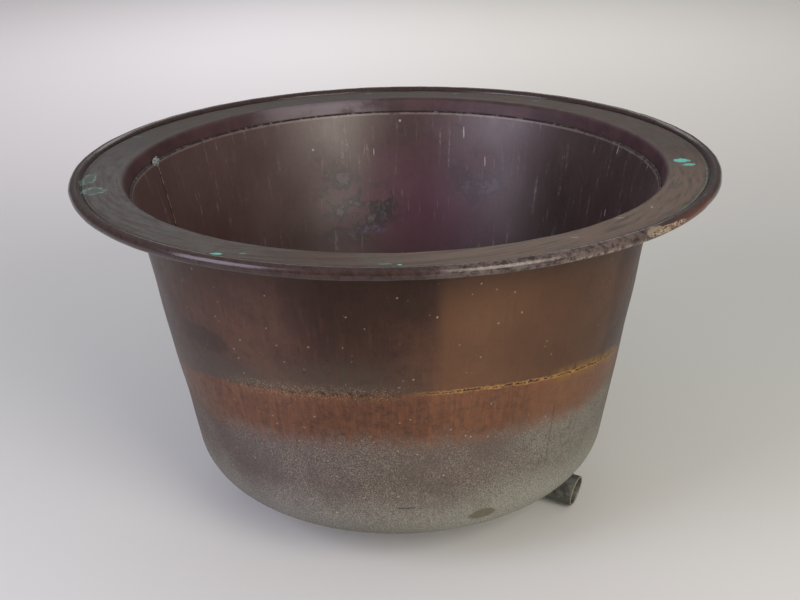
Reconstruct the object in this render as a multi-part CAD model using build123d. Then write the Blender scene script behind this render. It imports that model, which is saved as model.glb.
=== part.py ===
"""A copper boiling pan with a wide wired rim, set up as a fire pit with a lift-out iron grate.

The pan is a tapered wall of two rolled sheets, brazed at two upright seams, closed by a dished
bottom and finished with a flat flange whose outer edge is rolled round an iron rod. A short drain
pipe leaves the dished bottom on one side. The grate is a separate iron piece that stands low in
the pan on four legs.

Millimetres, +Z up. The origin is on the pan's axis, at the surface that it stands on.
"""
from build123d import *
from math import asin, atan2, cos, degrees, pi, radians, sin, sqrt, tan
import os

# ---- driving dimensions ----------------------------------------------------------------------
SHEET = 2.0                  # copper sheet of the wall and the rim
BEAD_Z = 463.0               # height of the centre of the rolled rim edge
RIM_RADIUS = 406.0           # outermost radius of the rim
BEAD_RADIUS = 7.5            # outside radius of the rolled edge
ROD_RADIUS = 5.3             # iron rod inside the rolled edge
FLANGE_RISE = 1.8            # top of the flange above the centre of the rolled edge
SHOULDER_RADIUS = 8.0        # rounded fold from the flange down into the collar
COLLAR_RADIUS = 335.0        # inside of the collar at the wall's top edge, which it laps outside
COLLAR_SLOPE = radians(14)   # the collar leans out by this much, as the wall's flared top does
LAP_GAP = 0.3                # solder-filled gap between the wall's top and the collar
LIP_DROP = 20.0              # wall's top edge below the centre of the rolled edge
COLLAR_DROP = 36.0           # collar's lower edge below the centre of the rolled edge

WALL_RADIUS = 333.9          # outside of the tapered wall, carried up to the rolled edge's height
TAPER = radians(8.74)        # the wall leans in by this much towards the bottom
FLARE_DROP = 100.0           # below this, the wall is a plain cone; above, it opens out to the collar
PAN_JOINT_Z = 121.0          # brazed joint between the wall and the dished bottom
PAN_SHEET = 2.5              # the bottom is hammered from a thicker sheet
DISH_RADIUS = 504.6          # outside of the dish
KNUCKLE_RADIUS = 61.4        # outside of the turn from the wall into the dish
FLAT_RADIUS = 60.0           # flattened middle of the dish, which the pan stands on

SEAM_AZIMUTHS = {"left": 166.5, "right": 307.5}
BRAZE_WIDTH = 3.0            # width of a brazed line
BRAZE_PROUD = 0.6            # a brazed line stands this far out of the sheet

DRAIN_AZIMUTH = -24.0
DRAIN_SLOPE = radians(8.0)   # the drain pipe runs down by this much towards its mouth
DRAIN_RADIUS = 21.0          # outside of the drain pipe
DRAIN_WALL = 2.5
DRAIN_MOUTH = 260.5          # distance of the pipe's mouth from the pan's axis
DRAIN_CLEAR = 2.5            # lowest point of the mouth above the ground
SADDLE_RADIUS = 34.0         # saddle plate, measured square to the drain pipe
SADDLE_SHEET = 3.0
RIVET_RADIUS = 2.4
RIVET_HEAD = 4.4
RIVET_DOME = 2.2             # height of a rivet's head
RIVET_CLEAR = 0.05           # gap round a rivet's shank and under its heads
RIVET_PLACES = [(56, 0), (-56, 0), (22, 25.5), (22, -25.5), (-22, 25.5), (-22, -25.5)]

GRATE_RADIUS = 240.0         # outside of the grate's ring
GRATE_TOP = 130.0
RING_THICK = 6.0
BAR = 12.0                   # square bar of the grate, and half the ring's height
BAR_COUNT = 11
BAR_PITCH = 40.0
CROSS_BAR_OFFSET = 120.0
LEG_RADIUS = 7.0
LEG_REACH = 105.0            # a leg's distance from the middle of its cross bar
LEG_CLEAR = 0.3              # gap between a leg's rounded foot and the pan

# ---- worked out from them --------------------------------------------------------------------
FLANGE_TOP = BEAD_Z + FLANGE_RISE
BEAD_CENTRE = RIM_RADIUS - BEAD_RADIUS
LIP_Z = BEAD_Z - LIP_DROP
COLLAR_Z = BEAD_Z - COLLAR_DROP
FLARE_Z = BEAD_Z - FLARE_DROP
DISH_CENTRE_Z = sqrt(DISH_RADIUS**2 - FLAT_RADIUS**2)
RING_HEIGHT = 2 * BAR


def wall_radius(z):
    """Outside radius of the plain cone at a height."""
    return WALL_RADIUS - (BEAD_Z - z) * tan(TAPER)


def knuckle():
    """Centre of the knuckle's arc, which touches the wall's line and the dish from inside."""
    top = (wall_radius(PAN_JOINT_Z), PAN_JOINT_Z)
    down = (-sin(TAPER), -cos(TAPER))
    inward = (-cos(TAPER), sin(TAPER))
    base = (top[0] + KNUCKLE_RADIUS * inward[0], top[1] + KNUCKLE_RADIUS * inward[1] - DISH_CENTRE_Z)
    along = base[0] * down[0] + base[1] * down[1]
    gap = base[0] ** 2 + base[1] ** 2 - (DISH_RADIUS - KNUCKLE_RADIUS) ** 2
    step = -along + sqrt(along**2 - gap)
    return base[0] + step * down[0], base[1] + step * down[1] + DISH_CENTRE_Z


def on_arc(centre, radius, angle):
    """Point of a circle in the profile plane."""
    return centre[0] + radius * cos(angle), 0, centre[1] + radius * sin(angle)


def upright(r, z):
    """Point of the profile plane: distance from the axis, and height."""
    return r, 0, z


def turned(face, azimuth=0.0, sweep=360.0):
    """The solid that a profile makes as it turns round the pan's axis, from an azimuth on."""
    return Rot(0, 0, azimuth) * revolve(face, Axis.Z, sweep)


def wall_line(inset):
    """The wall's profile from its lower edge to its top edge, moved inwards by inset."""
    cut = inset / cos(TAPER)
    low = PAN_JOINT_Z + BRAZE_WIDTH / 2
    foot = upright(wall_radius(low) - cut, low)
    bend = upright(wall_radius(FLARE_Z) - cut, FLARE_Z)
    lip = upright(COLLAR_RADIUS - LAP_GAP - inset, LIP_Z)
    flare = TangentArc(bend, lip, tangent=(sin(TAPER), 0, cos(TAPER)))
    return [Line(foot, bend), flare], foot, lip


def wall_face(outer, inner):
    """Section of the wall between two insets."""
    outside, foot_out, lip_out = wall_line(outer)
    inside, foot_in, lip_in = wall_line(inner)
    return make_face([*outside, Line(lip_out, lip_in), *inside, Line(foot_in, foot_out)])


def wall_sheet(start, end):
    """One rolled sheet of the wall, between the brazed lines at two azimuths."""
    half = degrees(BRAZE_WIDTH / 2 / COLLAR_RADIUS)
    return turned(wall_face(0, SHEET), start + half, end - start - 2 * half)


def seam_braze(azimuth):
    """Upright line of braze between the two sheets, a little proud of them inside."""
    half = degrees(BRAZE_WIDTH / 2 / COLLAR_RADIUS)
    return turned(wall_face(0, SHEET + BRAZE_PROUD), azimuth - half, 2 * half)


def pan_edges(inset, top_z):
    """Profile of the dished bottom, from its top edge to the axis, moved inwards by inset."""
    centre = knuckle()
    turn = KNUCKLE_RADIUS - inset
    dish = DISH_RADIUS - inset
    heading = atan2(centre[1] - DISH_CENTRE_Z, centre[0])
    flat_start = -asin(sqrt(dish**2 - (DISH_CENTRE_Z - inset) ** 2) / dish)
    top = upright(wall_radius(top_z) - inset / cos(TAPER), top_z)
    tangent = on_arc(centre, turn, -TAPER)
    middle = on_arc(centre, turn, (heading - TAPER) / 2)
    meets = on_arc(centre, turn, heading)
    dish_middle = on_arc((0, DISH_CENTRE_Z), dish, (heading - pi / 2 - flat_start) / 2)
    dish_end = on_arc((0, DISH_CENTRE_Z), dish, -pi / 2 - flat_start)
    axis = upright(0, inset)
    edges = [Line(top, tangent), ThreePointArc(tangent, middle, meets)]
    edges += [ThreePointArc(meets, dish_middle, dish_end), Line(dish_end, axis)]
    return edges, top, axis


def bowl_fill(inset, top_z):
    """Everything inside the dished bottom's surface at an inset, up to a height."""
    edges, top, axis = pan_edges(inset, top_z)
    peak = upright(0, top_z)
    return turned(make_face([*edges, Line(axis, peak), Line(peak, top)]))


def drain_plane():
    """Plane at the drain pipe's mouth, square to the pipe, facing out along it."""
    mouth_z = DRAIN_CLEAR + DRAIN_RADIUS * cos(DRAIN_SLOPE)
    azimuth = radians(DRAIN_AZIMUTH)
    mouth = (DRAIN_MOUTH * cos(azimuth), DRAIN_MOUTH * sin(azimuth), mouth_z)
    outward = (cos(azimuth) * cos(DRAIN_SLOPE), sin(azimuth) * cos(DRAIN_SLOPE), -sin(DRAIN_SLOPE))
    return Plane(origin=mouth, x_dir=(-sin(azimuth), cos(azimuth), 0), z_dir=outward)


def drain_rod(radius, reach=160.0):
    """A solid bar on the drain pipe's line, from its mouth back into the pan."""
    return drain_plane() * Cylinder(radius, reach, align=(Align.CENTER, Align.CENTER, Align.MAX))


def dish_plane(along, across):
    """Plane that touches the dish beside the drain's hole, facing outwards. along is up the slope."""
    mouth_z = DRAIN_CLEAR + DRAIN_RADIUS * cos(DRAIN_SLOPE)
    rise = tan(DRAIN_SLOPE)
    line_z = mouth_z + DRAIN_MOUTH * rise - DISH_CENTRE_Z
    a, b, c = 1 + rise**2, -rise * line_z, line_z**2 - DISH_RADIUS**2
    hole = (-b + sqrt(b**2 - a * c)) / a
    polar = asin(hole / DISH_RADIUS) + along / DISH_RADIUS
    azimuth = radians(DRAIN_AZIMUTH) + across / (DISH_RADIUS * sin(polar))
    normal = (sin(polar) * cos(azimuth), sin(polar) * sin(azimuth), -cos(polar))
    origin = (DISH_RADIUS * normal[0], DISH_RADIUS * normal[1], DISH_CENTRE_Z + DISH_RADIUS * normal[2])
    return Plane(origin=origin, x_dir=(-sin(azimuth), cos(azimuth), 0), z_dir=normal)


def rivet_holes():
    """The holes for the saddle's rivets."""
    reach = 4 * SADDLE_SHEET
    return [dish_plane(*place) * Cylinder(RIVET_RADIUS + RIVET_CLEAR, reach) for place in RIVET_PLACES]


def bottom_pan():
    """Dished bottom, with the drain's hole and its rivet holes."""
    top_z = PAN_JOINT_Z - BRAZE_WIDTH / 2
    outside, top_out, axis_out = pan_edges(0, top_z)
    inside, top_in, axis_in = pan_edges(PAN_SHEET, top_z)
    pan = turned(make_face([*outside, Line(axis_out, axis_in), *inside, Line(top_in, top_out)]))
    return pan - drain_rod(DRAIN_RADIUS) - rivet_holes()


def pan_braze_ring():
    """Line of braze between the wall's lower edge and the dished bottom."""
    low, high = PAN_JOINT_Z - BRAZE_WIDTH / 2, PAN_JOINT_Z + BRAZE_WIDTH / 2
    depth = PAN_SHEET / cos(TAPER) + BRAZE_PROUD
    corners = [
        upright(wall_radius(low), low),
        upright(wall_radius(high), high),
        upright(wall_radius(high) - depth, high),
        upright(wall_radius(low) - depth, low),
    ]
    return turned(make_face(Polyline(*corners, close=True)))


def rim_line(inset):
    """Profile of the collar, the fold and the flange, moved below the top surface by inset."""
    slope = (sin(COLLAR_SLOPE), cos(COLLAR_SLOPE))
    out = (cos(COLLAR_SLOPE), -sin(COLLAR_SLOPE))
    fold_z = FLANGE_TOP - SHOULDER_RADIUS
    fold_r = COLLAR_RADIUS + (SHOULDER_RADIUS + (fold_z - LIP_Z) * slope[0]) / out[0]
    reach = SHOULDER_RADIUS - inset
    turn = (fold_r - reach * out[0], fold_z - reach * out[1])
    fall = (turn[1] - COLLAR_Z) / slope[1]
    foot = upright(turn[0] - fall * slope[0], COLLAR_Z)
    start = upright(*turn)
    middle = on_arc((fold_r, fold_z), reach, (3 * pi / 2 - COLLAR_SLOPE) / 2)
    flat = upright(fold_r, FLANGE_TOP - inset)
    end = upright(BEAD_CENTRE - BEAD_RADIUS + SHEET / 2, FLANGE_TOP - inset)
    return [Line(foot, start), ThreePointArc(start, middle, flat), Line(flat, end)], foot, end


def rim_flange():
    """Collar, flange and rolled edge in one worked sheet; the roll's free edge tucks in below."""
    top, top_foot, top_end = rim_line(0)
    under, under_foot, under_end = rim_line(SHEET)
    sheet = make_face([*top, Line(top_end, under_end), *under, Line(under_foot, top_foot)])
    roll = Pos(BEAD_CENTRE, BEAD_Z) * (Circle(BEAD_RADIUS) - Circle(BEAD_RADIUS - SHEET))
    tuck = Pos(BEAD_CENTRE, BEAD_Z) * Rot(0, 0, 202) * Pos(BEAD_RADIUS, 0) * Rectangle(8, 4)
    return turned(sheet) + turned(Plane.XZ * (roll - tuck))


def rim_edge_rod():
    """Iron rod that the rim's edge is rolled round."""
    return turned(Plane.XZ * Pos(BEAD_CENTRE, BEAD_Z) * Circle(ROD_RADIUS))


def collar_solder():
    """Fillet of solder on the wall's top edge, against the collar."""
    leg = SHEET + BRAZE_PROUD
    corners = [
        upright(COLLAR_RADIUS, LIP_Z),
        upright(COLLAR_RADIUS - SHEET, LIP_Z),
        upright(COLLAR_RADIUS + leg * tan(COLLAR_SLOPE), LIP_Z + leg),
    ]
    return turned(make_face(Polyline(*corners, close=True)))


def drain_pipe():
    """Short copper pipe through the dished bottom, cut flush with it inside."""
    tube = drain_rod(DRAIN_RADIUS) - drain_rod(DRAIN_RADIUS - DRAIN_WALL)
    return tube - bowl_fill(PAN_SHEET, PAN_JOINT_Z)


def drain_saddle():
    """Plate bent to the dish, round the pipe where it comes out."""
    middle = Pos(0, 0, DISH_CENTRE_Z)
    shell = middle * (Sphere(DISH_RADIUS + SADDLE_SHEET) - Sphere(DISH_RADIUS))
    plate = shell & drain_rod(SADDLE_RADIUS)
    return plate - drain_rod(DRAIN_RADIUS) - rivet_holes()


def rivet(place):
    """Copper rivet with a domed head inside the pan and one outside the saddle."""
    outer_seat = SADDLE_SHEET + RIVET_CLEAR
    inner_seat = -PAN_SHEET - RIVET_CLEAR
    ball = (RIVET_HEAD**2 + RIVET_DOME**2) / (2 * RIVET_DOME)
    slab = Cylinder(RIVET_HEAD, RIVET_DOME, align=(Align.CENTER, Align.CENTER, Align.MIN))
    dome = slab & Pos(0, 0, RIVET_DOME - ball) * Sphere(ball)
    shank = Pos(0, 0, inner_seat) * Cylinder(
        RIVET_RADIUS, outer_seat - inner_seat, align=(Align.CENTER, Align.CENTER, Align.MIN)
    )
    solid = shank + Pos(0, 0, outer_seat) * dome + Pos(0, 0, inner_seat) * Rot(180, 0, 0) * dome
    return dish_plane(*place) * solid


def grate_ring():
    """Flat iron bar rolled on edge into the grate's ring."""
    band = Cylinder(GRATE_RADIUS, RING_HEIGHT) - Cylinder(GRATE_RADIUS - RING_THICK, RING_HEIGHT)
    return Pos(0, 0, GRATE_TOP - RING_HEIGHT / 2) * band


def inside_ring(solid):
    """What of a bar lies within the ring, so that its ends meet the ring's inner face."""
    return solid & Cylinder(GRATE_RADIUS - RING_THICK, 4 * GRATE_TOP)


def grate_bar(number):
    """One of the square bars that carry the fire, counted from the left."""
    x = (number - (BAR_COUNT - 1) / 2) * BAR_PITCH
    return inside_ring(Pos(x, 0, GRATE_TOP - BAR / 2) * Box(BAR, 2 * GRATE_RADIUS, BAR))


def cross_bar(side):
    """Square bar under the others, welded to each of them and to the ring."""
    place = Pos(0, side * CROSS_BAR_OFFSET, GRATE_TOP - 1.5 * BAR)
    return inside_ring(place * Box(2 * GRATE_RADIUS, BAR, BAR))


def grate_leg(side_x, side_y):
    """Round leg under a cross bar, with a ball foot that stands on the dish."""
    x, y = side_x * LEG_REACH, side_y * CROSS_BAR_OFFSET
    ball_reach = DISH_RADIUS - PAN_SHEET - LEG_CLEAR - LEG_RADIUS
    ball_z = DISH_CENTRE_Z - sqrt(ball_reach**2 - x**2 - y**2)
    length = GRATE_TOP - RING_HEIGHT - ball_z
    post = Pos(x, y, ball_z + length / 2) * Cylinder(LEG_RADIUS, length)
    return post + Pos(x, y, ball_z) * Sphere(LEG_RADIUS)


def sub_parts():
    """Every node of the fire pit, by name."""
    left, right = SEAM_AZIMUTHS["left"], SEAM_AZIMUTHS["right"]
    yield "wall_sheet_front", wall_sheet(left, right)
    yield "wall_sheet_rear", wall_sheet(right, left + 360)
    yield "wall_seam_left", seam_braze(left)
    yield "wall_seam_right", seam_braze(right)
    yield "bottom_pan", bottom_pan()
    yield "pan_braze_ring", pan_braze_ring()
    yield "rim_flange", rim_flange()
    yield "rim_edge_rod", rim_edge_rod()
    yield "collar_solder_ring", collar_solder()
    yield "drain_pipe", drain_pipe()
    yield "drain_saddle", drain_saddle()
    yield "drain_rivets", Compound(children=[rivet(place) for place in RIVET_PLACES])
    yield "grate_ring", grate_ring()
    for number in range(BAR_COUNT):
        yield f"grate_bar_{number + 1}", grate_bar(number)
    yield "grate_cross_bar_front", cross_bar(-1)
    yield "grate_cross_bar_rear", cross_bar(1)
    for number, (side_x, side_y) in enumerate([(-1, -1), (1, -1), (1, 1), (-1, 1)], 1):
        yield f"grate_leg_{number}", grate_leg(side_x, side_y)


os.makedirs("parts", exist_ok=True)
for name, shape in sub_parts():
    export_step(shape, f"parts/{name}.step")
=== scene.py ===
"""An old copper boiling pan with a wide rolled rim, used as a fire pit, with a loose iron grate.

Metres, +Z up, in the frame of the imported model. The bowl stands on the origin and the side with
the torn rim faces -Y and +X. Each section below makes one piece, in the order of assembly.
"""
import math

import bpy
from mathutils import Matrix, Vector


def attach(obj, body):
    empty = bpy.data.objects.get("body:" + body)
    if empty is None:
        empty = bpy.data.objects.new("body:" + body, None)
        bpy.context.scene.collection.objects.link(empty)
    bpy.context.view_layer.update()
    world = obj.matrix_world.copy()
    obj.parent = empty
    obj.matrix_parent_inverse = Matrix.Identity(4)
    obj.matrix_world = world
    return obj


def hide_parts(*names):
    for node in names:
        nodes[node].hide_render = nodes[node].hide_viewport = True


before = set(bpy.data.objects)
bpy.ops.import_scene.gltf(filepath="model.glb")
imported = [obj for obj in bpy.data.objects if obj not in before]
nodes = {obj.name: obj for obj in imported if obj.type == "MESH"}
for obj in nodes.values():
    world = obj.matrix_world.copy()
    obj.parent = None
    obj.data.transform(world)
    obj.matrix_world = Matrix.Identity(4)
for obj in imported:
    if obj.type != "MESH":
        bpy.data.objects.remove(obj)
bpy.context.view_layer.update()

# ---------------------------------------------------------------------------------------------
# Bottom pan. A disc of copper, hammered into a shallow dish with a round knuckle, 2.5 mm thick.
# Its middle is left flat, to stand on. The outside has boiled dry over many fires, and is coated
# with grey scale that turns pale and greenish towards the ground, paler partly as painted light from
# the floor.

DISH_RADIUS = 0.5046
DISH_CENTRE = 0.50102
FLAT_RADIUS = 0.060
KNUCKLE_RADIUS = 0.0614
KNUCKLE_CENTRE = (0.21833, 0.11533)
TAPER = math.radians(8.74)
PAN_TOP = 0.1195
WALL_LINE = (0.3339, 0.463)
PAN_SHEET = 0.0025
ROUND_STEPS = 240
MORTAR_HEIGHT = 0.217
SCALE_TOP = 0.208
SEAM_AZIMUTHS = (166.5, 307.5)


def wall_radius(z):
    """Outside radius of the wall's straight part, on a line that passes through WALL_LINE."""
    return WALL_LINE[0] - (WALL_LINE[1] - z) * math.tan(TAPER)


def around(azimuth, distance, height=0.0):
    """The place at an azimuth in degrees, at a distance from the bowl's axis and a height."""
    turn = math.radians(azimuth)
    return (distance * math.cos(turn), distance * math.sin(turn), height)


def draw_profile(name, points, azimuth=0.0):
    """Starts a piece as a line of points, given as distance from the axis and height."""
    places = [Vector(around(azimuth, distance, height)) for distance, height in points]
    bpy.ops.object.select_all(action="DESELECT")
    bpy.ops.mesh.primitive_plane_add(size=0.01)
    piece = bpy.context.active_object
    piece.name = name
    piece.data.name = name
    bpy.ops.object.mode_set(mode="EDIT")
    bpy.ops.mesh.select_all(action="SELECT")
    bpy.ops.mesh.merge(type="CENTER")
    bpy.ops.transform.translate(value=places[0])
    for here, there in zip(places, places[1:]):
        bpy.ops.mesh.extrude_vertices_move(TRANSFORM_OT_translate={"value": there - here})
    bpy.ops.object.mode_set(mode="OBJECT")
    return piece


def spin_sheet(piece, sweep=360.0, steps=ROUND_STEPS):
    """Turns a line round the axis into a sheet, with doubled points merged and its faces agreeing."""
    bpy.context.view_layer.objects.active = piece
    bpy.ops.object.mode_set(mode="EDIT")
    bpy.ops.mesh.select_all(action="SELECT")
    bpy.ops.mesh.spin(steps=steps, angle=-math.radians(sweep), center=(0, 0, 0), axis=(0, 0, 1))
    bpy.ops.mesh.select_all(action="SELECT")
    bpy.ops.mesh.remove_doubles(threshold=0.00002)
    bpy.ops.mesh.normals_make_consistent(inside=False)
    bpy.ops.object.mode_set(mode="OBJECT")


def face_outwards(piece, towards):
    """Turns all the faces round if, by area, they point against the direction that towards gives."""
    agreement = sum(face.area * face.normal.dot(towards(face.center)) for face in piece.data.polygons)
    if agreement < 0:
        bpy.ops.object.mode_set(mode="EDIT")
        bpy.ops.mesh.select_all(action="SELECT")
        bpy.ops.mesh.flip_normals()
        bpy.ops.object.mode_set(mode="OBJECT")


def away_from_axis(place):
    """Level direction from the bowl's axis, which is also the grate legs' own while they are made."""
    return Vector((place.x, place.y, 0))


def select_only(piece):
    """Makes one piece the selected and active one."""
    bpy.ops.object.select_all(action="DESELECT")
    piece.select_set(True)
    bpy.context.view_layer.objects.active = piece


def apply_modifier(piece, kind, **settings):
    """Adds a modifier, sets it and applies it."""
    modifier = piece.modifiers.new(kind.lower(), kind)
    for name, value in settings.items():
        setattr(modifier, name, value)
    select_only(piece)
    bpy.ops.object.modifier_apply(modifier=modifier.name)


def smooth(piece, angle=35):
    """Shades the piece smooth, but keeps edges sharper than the angle crisp."""
    select_only(piece)
    bpy.ops.object.shade_smooth_by_angle(angle=math.radians(angle))


def colour(code):
    """Linear colour from an sRGB hex code."""
    parts = [int(code[i:i + 2], 16) / 255 for i in (1, 3, 5)]
    return (*(p / 12.92 if p <= 0.04045 else ((p + 0.055) / 1.055) ** 2.4 for p in parts), 1.0)


def add_node(tree, kind, settings, inputs, output=0):
    """Adds a node, sets it, fills its inputs with values or links, and returns one output."""
    node = tree.nodes.new(kind)
    for name, value in settings.items():
        setattr(node, name, value)
    for key, value in inputs.items():
        socket = node.inputs[key]
        if isinstance(value, bpy.types.NodeSocket):
            tree.links.new(value, socket)
        else:
            socket.default_value = value
    return node.outputs[output]


def add_math(tree, operation, *values):
    """One step of arithmetic on numbers and outputs."""
    return add_node(tree, "ShaderNodeMath", {"operation": operation}, dict(enumerate(values)))


def add_dot(tree, vector, direction):
    """How far a vector reaches along a direction."""
    both = {0: vector, 1: direction}
    return add_node(tree, "ShaderNodeVectorMath", {"operation": "DOT_PRODUCT"}, both, "Value")


def add_range(tree, value, low, high, start=0.0, end=1.0):
    """Goes smoothly from start to end as a value goes from low to high."""
    limits = {0: value, 1: low, 2: high, 3: start, 4: end}
    return add_node(tree, "ShaderNodeMapRange", {"interpolation_type": "SMOOTHSTEP"}, limits)


def add_noise(tree, place, scale, detail, roughness=0.5, distortion=0.0):
    """Noise from 0 to 1 over a place, in clouds about one metre wide divided by the scale."""
    look = {"Scale": scale, "Detail": detail, "Roughness": roughness, "Distortion": distortion}
    return add_node(tree, "ShaderNodeTexNoise", {}, {"Vector": place, **look})


def add_relief(tree, shader, relief, strength, distance):
    """Roughens a finish by a relief, at most as high as the distance."""
    bump = {"Strength": strength, "Distance": distance, "Height": relief}
    tree.links.new(add_node(tree, "ShaderNodeBump", {}, bump), shader.inputs["Normal"])


def new_finish(name, metallic, roughness):
    """A material with its Principled shader's plain values set."""
    material = bpy.data.materials.new(name)
    material.use_nodes = True
    shader = material.node_tree.nodes["Principled BSDF"]
    shader.inputs["Metallic"].default_value = metallic
    shader.inputs["Roughness"].default_value = roughness
    return material, material.node_tree, shader


def bowl_position(tree):
    """The shaded point, its direction from the bowl's axis, and its height."""
    point = add_node(tree, "ShaderNodeTexCoord", {}, {}, "Object")
    level = add_node(tree, "ShaderNodeVectorMath", {"operation": "MULTIPLY"}, {0: point, 1: (1, 1, 0)})
    outward = add_node(tree, "ShaderNodeVectorMath", {"operation": "NORMALIZE"}, {0: level})
    height = add_node(tree, "ShaderNodeSeparateXYZ", {}, {0: point}, "Z")
    return point, outward, height


def upright_streaks(tree, point, outward, stretch):
    """Place on the wall with its height shortened, so that patterns on it run up and down."""
    flat = add_node(tree, "ShaderNodeVectorMath", {"operation": "SCALE"}, {0: outward, "Scale": 0.32})
    squeezed = add_node(
        tree, "ShaderNodeVectorMath", {"operation": "MULTIPLY"}, {0: point, 1: (0, 0, stretch)})
    return add_node(tree, "ShaderNodeVectorMath", {"operation": "ADD"}, {0: flat, 1: squeezed})


def mask(tree, *parts):
    """Product of parts: numbers, outputs, or (output, low, high) for 0 at low rising to 1 at high."""
    product = None
    for part in parts:
        if isinstance(part, tuple):
            part = add_range(tree, *part)
        if product is None:
            product = part
        else:
            product = add_math(tree, "MULTIPLY", product, part)
    return product


def paint(tree, under, over, *parts):
    """One colour over another, as much as the product of the parts says."""
    under, over = (colour(layer) if isinstance(layer, str) else layer for layer in (under, over))
    blend = {0: mask(tree, *parts), 6: under, 7: over}
    return add_node(tree, "ShaderNodeMix", {"data_type": "RGBA"}, blend, 2)


def facing(tree, outward, azimuth, low, high):
    """Mask for one side of the bowl: 0 to 1 as the cosine of the angle from it goes low to high."""
    return mask(tree, (add_dot(tree, outward, around(azimuth, 1)), low, high))


def spot(tree, point, azimuth, radius, height, size, rag=0.35, grain=90, core=0.7):
    """Mask for a ragged spot at a place on the bowl, as large as size says along X, Y and Z."""
    centre = {0: point, 1: around(azimuth, radius, height)}
    away = add_node(tree, "ShaderNodeVectorMath", {"operation": "SUBTRACT"}, centre)
    scaled = add_node(tree, "ShaderNodeVectorMath", {"operation": "DIVIDE"}, {0: away, 1: size})
    reach = add_node(tree, "ShaderNodeVectorMath", {"operation": "LENGTH"}, {0: scaled}, "Value")
    raggedness = add_noise(tree, point, grain, 4)
    edge = add_math(tree, "MULTIPLY_ADD", raggedness, 2 * rag, 1 - rag)
    share = add_math(tree, "DIVIDE", reach, edge)
    return mask(tree, (share, 1.0, core))


# Copper oxide over copper, brown where it stayed dry, orange-brown in the band under the line
# that mortar left, and grey with baked lime below. It gives a dull metallic sheen in the brown
# and a chalky matt in the grey. Clouds are 110 mm across, flecks 9 mm, drips 5 mm wide, and the
# lime's grains under 2 mm.
outside_copper, tree, shader = new_finish("oxidised_copper_outside", 0.7, 0.45)
shader.inputs["Anisotropic"].default_value = 0.7
shader.inputs["Anisotropic Rotation"].default_value = 0.25
round_axis = add_node(tree, "ShaderNodeTangent", {"direction_type": "RADIAL", "axis": "Z"}, {})
tree.links.new(round_axis, shader.inputs["Tangent"])
point, outward, height = bowl_position(tree)
streak_place = upright_streaks(tree, point, outward, 0.12)
clouds = add_noise(tree, point, 9, 8, 0.65)
drips = add_noise(tree, streak_place, 190, 6, 0.6)
flecks = add_noise(tree, point, 110, 7, 0.75)
grains = add_noise(tree, point, 620, 4, 0.8)

brown = paint(tree, "#45302a", "#5b4033", (clouds, 0.35, 0.65))
brown = paint(tree, brown, "#6a4a38", (drips, 0.45, 0.8), 0.4)
brown = paint(tree, brown, "#2c1f1b", (flecks, 0.5, 0.75), 0.5)
brown = paint(tree, brown, "#85705f", (grains, 0.58, 0.75), 0.4)
# Painted shadow: the wall darkens towards its top, under the overhang of the rim.
brown = paint(tree, brown, "#2a1d19", (height, 0.345, 0.43), 0.55)
# Painted shade: the upper wall is darker on the front, between the two lit sides.
painted_shade_front = mask(tree, facing(tree, outward, 266, 0.93, 0.985), (height, 0.3, 0.39), 0.4)
brown = paint(tree, brown, "#231713", painted_shade_front)
# Painted sheen: a lighter, warmer patch on the right of the upper wall stands in for the right lamp's
# reflection.
painted_sheen_right = mask(tree, facing(tree, outward, 300, 0.915, 0.938), (height, 0.45, 0.39))
brown = paint(tree, brown, "#6f5038", painted_sheen_right, 0.45)

# Heights made ragged by flecks, clouds and drips, and compared with two tilted lines: the old
# mortar joint's, and the top of the grey scale.
wobble = add_math(tree, "MULTIPLY_ADD", flecks, 0.03, -0.015)
wave = add_math(tree, "MULTIPLY_ADD", clouds, 0.05, -0.025)
run = add_math(tree, "MULTIPLY_ADD", drips, 0.03, -0.015)
ragged = add_math(tree, "ADD", height, wobble)
rolling = add_math(tree, "ADD", ragged, wave)
dripping = add_math(tree, "ADD", rolling, run)
tilt = add_dot(tree, outward, around(272, 0.067))
mortar_height = add_math(tree, "ADD", tilt, MORTAR_HEIGHT)
slightly = add_math(tree, "MULTIPLY_ADD", wobble, 0.4, height)
above_mortar = add_math(tree, "SUBTRACT", slightly, mortar_height)
far_above = add_math(tree, "SUBTRACT", dripping, mortar_height)
scale_line = add_dot(tree, outward, around(285, 0.03))
above_scale = add_math(tree, "SUBTRACT", dripping, scale_line)
in_scale = mask(tree, (above_scale, SCALE_TOP, SCALE_TOP - 0.040))
near_ground = mask(tree, (dripping, 0.155, 0.085))

band = paint(tree, "#6a4634", "#7d543d", (drips, 0.35, 0.7))
band = paint(tree, band, "#4d3a30", (flecks, 0.44, 0.66), 0.75)
band = paint(tree, band, "#a08468", (grains, 0.58, 0.72), 0.4)
band = paint(tree, band, "#96694a", facing(tree, outward, 320, 0.9, 0.98), 0.5)
skin = paint(tree, brown, band, (above_mortar, 0.003, -0.003), 0.85)
smoke = mask(
    tree, (far_above, 0.06, -0.005), (above_mortar, -0.003, 0.003),
    facing(tree, outward, 235, 0.68, 0.9), 0.6)
skin = paint(tree, skin, "#574f45", smoke)
scale = paint(tree, "#453a36", "#857d70", (grains, 0.42, 0.68))
scale = paint(tree, scale, "#4a3f3a", (clouds, 0.45, 0.65), 0.6)
scale = paint(tree, scale, "#3b302c", (flecks, 0.55, 0.75), 0.4)
right_bloom = mask(
    tree, facing(tree, outward, 322, 0.84, 0.99), (grains, 0.3, 0.6), (flecks, 0.3, 0.55), 0.5)
scale = paint(tree, scale, "#8d8f86", right_bloom)
skin = paint(tree, skin, scale, in_scale)
chalk = paint(tree, "#6f6f66", "#9a9d92", (grains, 0.4, 0.62))
# Paler lime near the ground, more of it at the right: partly lime scale, partly painted light thrown up
# from the floor.
skin = paint(tree, skin, chalk, near_ground, 0.45)
skin = paint(tree, skin, chalk, near_ground, facing(tree, outward, 318, 0.5, 0.9), 0.5)

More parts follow.
